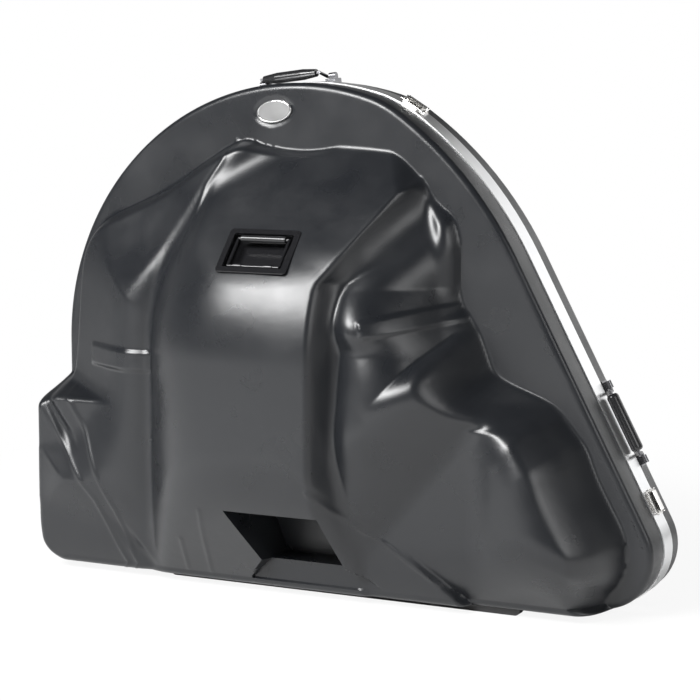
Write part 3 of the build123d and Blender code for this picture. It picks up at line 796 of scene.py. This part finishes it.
class Field:
    """A shader value that takes Python's operators."""

    def __init__(self, nodes, socket):
        self.nodes = nodes
        self.socket = socket

    def maths(self, operation, first, second):
        """Adds a Math node that works on two values."""
        return self.nodes.node("ShaderNodeMath", {"operation": operation}, {0: first, 1: second})

    def __add__(self, other):
        return self.maths("ADD", self, other)

    def __radd__(self, other):
        return self.maths("ADD", other, self)

    def __sub__(self, other):
        return self.maths("SUBTRACT", self, other)

    def __rsub__(self, other):
        return self.maths("SUBTRACT", other, self)

    def __mul__(self, other):
        return self.maths("MULTIPLY", self, other)

    def __rmul__(self, other):
        return self.maths("MULTIPLY", other, self)


class Nodes:
    """A node tree, where one method adds every node."""

    def __init__(self, tree):
        self.tree = tree

    def node(self, kind, settings=None, inputs=None, output=0):
        """Adds one node, sets it up and gives back one of its outputs."""
        made = self.tree.nodes.new(kind)
        for key, value in (settings or {}).items():
            setattr(made, key, value)
        for key, value in (inputs or {}).items():
            if isinstance(value, Field):
                self.tree.links.new(value.socket, made.inputs[key])
            else:
                made.inputs[key].default_value = value
        return Field(self, made.outputs[output])

    def end(self, name, value):
        """Links a field to the tree's last node."""
        self.tree.links.new(value.socket, self.tree.nodes[name].inputs[0])


class Finish(Nodes):
    """A material with its principled shader."""

    def __init__(self, name, **constants):
        self.material = bpy.data.materials.new(name)
        self.material.use_nodes = True
        super().__init__(self.material.node_tree)
        self.shader = self.tree.nodes["Principled BSDF"]
        for socket, value in constants.items():
            self.shader.inputs[socket.replace("_", " ")].default_value = value

    def place(self):
        """The place on the piece, in metres."""
        return self.node("ShaderNodeTexCoord", output="Object")

    def noise(self, scale, detail, roughness=0.5):
        """Soft clouds, as many to a metre as the scale says."""
        return self.node(
            "ShaderNodeTexNoise",
            {},
            {"Vector": self.place(), "Scale": scale, "Detail": detail, "Roughness": roughness},
        )

    def mix(self, factor, first, second):
        """A colour between two others. A Mix node has its colours at inputs 6 and 7 and at output 2."""
        return self.node("ShaderNodeMix", {"data_type": "RGBA"}, {0: factor, 6: first, 7: second}, output=2)

    def bump(self, height, distance, strength):
        """Raises the surface by a height field."""
        inputs = {"Height": height, "Distance": distance, "Strength": strength}
        self.feed("Normal", self.node("ShaderNodeBump", {}, inputs))

    def feed(self, socket, value):
        """Links a field to the shader."""
        self.tree.links.new(value.socket, self.shader.inputs[socket])


def span(cloud, low, high):
    """A value that goes from low to high as a cloud goes from 0 to 1."""
    return cloud * (high - low) + low


def black_abs():
    """Black moulded ABS with a fine pebbled grain, shallow waves and a blotchy sheen."""
    finish = Finish("black_abs", Specular_IOR_Level=0.5)
    pebble = finish.node(
        "ShaderNodeTexVoronoi",
        {"feature": "DISTANCE_TO_EDGE"},
        {"Vector": finish.place(), "Scale": 620.0, "Randomness": 1.0},
    )
    grain = finish.noise(1500.0, detail=3.0)
    waves = finish.noise(24.0, detail=3.0, roughness=0.55)
    patches = finish.noise(9.0, detail=4.0)
    finish.feed("Base Color", finish.mix(patches, (0.007, 0.008, 0.010, 1), (0.013, 0.014, 0.016, 1)))
    finish.feed("Roughness", span(patches, low=0.14, high=0.48))
    finish.bump(pebble + grain * 0.2 + waves * 3.2, distance=0.00022, strength=0.6)
    return finish.material


def brushed_aluminium():
    """Extruded aluminium with a fine dull grain."""
    finish = Finish("brushed_aluminium", Metallic=1.0)
    cloud = finish.noise(30.0, detail=3.0)
    finish.feed("Base Color", finish.mix(cloud, (0.80, 0.81, 0.82, 1), (0.90, 0.90, 0.90, 1)))
    finish.feed("Roughness", span(finish.noise(900.0, detail=3.0), low=0.26, high=0.38))
    return finish.material


def plated_steel(name, colour, roughness):
    """Plated or polished metal, a little cloudy."""
    finish = Finish(name, Metallic=1.0)
    cloud = finish.noise(60.0, detail=3.0)
    darker = [0.9 * c for c in colour]
    finish.feed("Base Color", finish.mix(cloud, (*darker, 1), (*colour, 1)))
    finish.feed("Roughness", cloud * 0.1 + roughness - 0.05)
    return finish.material


def plain_plastic(name, colour, smoothest, roughest):
    """Plain moulded plastic, rubber or paint."""
    finish = Finish(name)
    cloud = finish.noise(120.0, detail=3.0)
    lighter = [1.25 * c for c in colour]
    finish.feed("Base Color", finish.mix(cloud, (*colour, 1), (*lighter, 1)))
    finish.feed("Roughness", span(cloud, smoothest, roughest))
    finish.bump(finish.noise(1400.0, detail=2.0), distance=0.0001, strength=0.4)
    return finish.material


def open_foam():
    """Dark grey open-cell foam."""
    finish = Finish("open_foam", Roughness=0.95)
    cells = finish.noise(450.0, detail=5.0, roughness=0.7)
    finish.feed("Base Color", finish.mix(cells, (0.012, 0.012, 0.013, 1), (0.05, 0.05, 0.053, 1)))
    finish.bump(cells, distance=0.0012, strength=0.8)
    return finish.material


finishes = {
    "shell": black_abs(),
    "valance": brushed_aluminium(),
    "bright_steel": plated_steel("nickel_plate", (0.80, 0.79, 0.77), 0.22),
    "hinge_steel": plated_steel("zinc_plate", (0.55, 0.55, 0.55), 0.4),
    "runner_plastic": plain_plastic("runner_plastic", (0.015, 0.015, 0.016), 0.3, 0.45),
    "badge_metal": plated_steel("badge_aluminium", (0.42, 0.42, 0.42), 0.34),
    "badge_rim": plated_steel("polished_aluminium", (0.86, 0.86, 0.86), 0.16),
    "dark_steel": plain_plastic("black_paint", (0.008, 0.008, 0.009), 0.14, 0.24),
    "grip_rubber": plain_plastic("grip_rubber", (0.012, 0.012, 0.013), 0.16, 0.3),
    "handle_steel": plated_steel("grey_plate", (0.20, 0.20, 0.21), 0.3),
    "foam": open_foam(),
}


def finish_piece(piece, finish):
    """Gives a piece its one material."""
    piece.data.materials.clear()
    piece.data.materials.append(finishes[finish])


def studio_floor():
    """A pale floor, which lets the camera see a lid that hangs below it."""
    deselect()
    bpy.ops.mesh.primitive_plane_add(size=14.0, location=(0, 0, -0.0005))
    floor = bpy.context.object
    floor.name = "studio_floor"
    paper = Finish("white_paper", Base_Color=(0.93, 0.93, 0.93, 1), Roughness=0.9)
    solid = Field(paper, paper.shader.outputs[0])
    clear = paper.node("ShaderNodeBsdfTransparent", {}, {"Color": (1, 1, 1, 1)})
    camera_ray = paper.node("ShaderNodeLightPath", output="Is Camera Ray")
    away = paper.node("ShaderNodeVectorMath", {"operation": "LENGTH"}, {0: paper.place()}, output=1)
    clearness = paper.node(
        "ShaderNodeMapRange",
        {"interpolation_type": "SMOOTHSTEP"},
        {"Value": away, "From Min": 0.7, "From Max": 1.9, "To Min": 0.9, "To Max": 1.0},
    )
    blend = paper.node("ShaderNodeMixShader", {}, {0: camera_ray * clearness, 1: solid, 2: clear})
    paper.end("Material Output", blend)
    floor.data.materials.append(paper.material)


def studio_surroundings():
    """White for the camera, a plain soft light for all else, and a sky that darkens upwards for gloss."""
    world = bpy.data.worlds.new("studio_world")
    bpy.context.scene.world = world
    world.use_nodes = True
    sky = Nodes(world.node_tree)

    def white(strength):
        """A plain white light."""
        return sky.node("ShaderNodeBackground", {}, {"Color": (1, 1, 1, 1), "Strength": strength})

    def ray(kind):
        """1 for rays of one kind and 0 for all others."""
        return sky.node("ShaderNodeLightPath", output=kind)

    direction = sky.node("ShaderNodeTexCoord", output="Generated")
    up = sky.node("ShaderNodeSeparateXYZ", {}, {0: direction}, output="Z")
    mirrored = sky.node(
        "ShaderNodeMapRange",
        {"interpolation_type": "SMOOTHSTEP"},
        {"Value": up, "From Min": 0.05, "From Max": 0.6, "To Min": 0.34, "To Max": 0.03},
    )
    gloss = {0: ray("Is Glossy Ray"), 1: ray("Is Transmission Ray")}
    mirror_ray = sky.node("ShaderNodeMath", {"operation": "MAXIMUM"}, gloss)
    around = sky.node("ShaderNodeMixShader", {}, {0: mirror_ray, 1: white(0.3), 2: white(mirrored)})
    seen = sky.node("ShaderNodeMixShader", {}, {0: ray("Is Camera Ray"), 1: around, 2: white(1.0)})
    sky.end("World Output", seen)


def soft_lamp(name, place, target, wide, high, watts):
    """A soft lamp with a flat front that faces a point."""
    lamp = bpy.data.lights.new(name, "AREA")
    lamp.shape = "RECTANGLE"
    lamp.size = wide
    lamp.size_y = high
    lamp.energy = watts
    holder = bpy.data.objects.new(name, lamp)
    bpy.context.collection.objects.link(holder)
    holder.location = place
    holder.rotation_euler = (Vector(target) - Vector(place)).to_track_quat("-Z", "Y").to_euler()
    holder.visible_camera = False


def photograph_camera():
    """The camera at the photograph's place."""
    azimuth = math.radians(26.0)
    pitch = math.radians(-7.595)
    level = math.cos(pitch)
    ahead = Vector((-math.sin(azimuth) * level, math.cos(azimuth) * level, math.sin(pitch)))
    lens = bpy.data.cameras.new("camera")
    lens.lens = 108.5
    lens.sensor_width = 36.0
    holder = bpy.data.objects.new("camera", lens)
    bpy.context.collection.objects.link(holder)
    holder.location = (1.655, -3.323, 0.935)
    holder.rotation_euler = ahead.to_track_quat("-Z", "Y").to_euler()
    bpy.context.scene.camera = holder


finish_piece(front_shell_skin(), "shell")
finish_piece(side_grip(), "grip_rubber")
finish_piece(badge_rim(), "badge_rim")
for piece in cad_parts.values():
    finish_piece(piece, piece.data.materials[0].name)

studio_floor()
studio_surroundings()
soft_lamp("wide_lamp", (-2.6, -3.4, 2.0), (0, 0, 0.9), wide=3.0, high=3.0, watts=6)
soft_lamp("key_lamp", (-1.35, -3.4, 3.3), (0, 0, 0.5), wide=2.5, high=1.6, watts=410)
soft_lamp("side_lamp", (3.4, -0.6, 1.6), (0, 0, 0.4), wide=1.2, high=1.6, watts=25)
soft_lamp("back_lamp", (1.6, 3.6, 1.5), (0.2, 0, 0.6), wide=3.4, high=2.2, watts=24)
photograph_camera()
bpy.context.scene.view_settings.view_transform = "Standard"
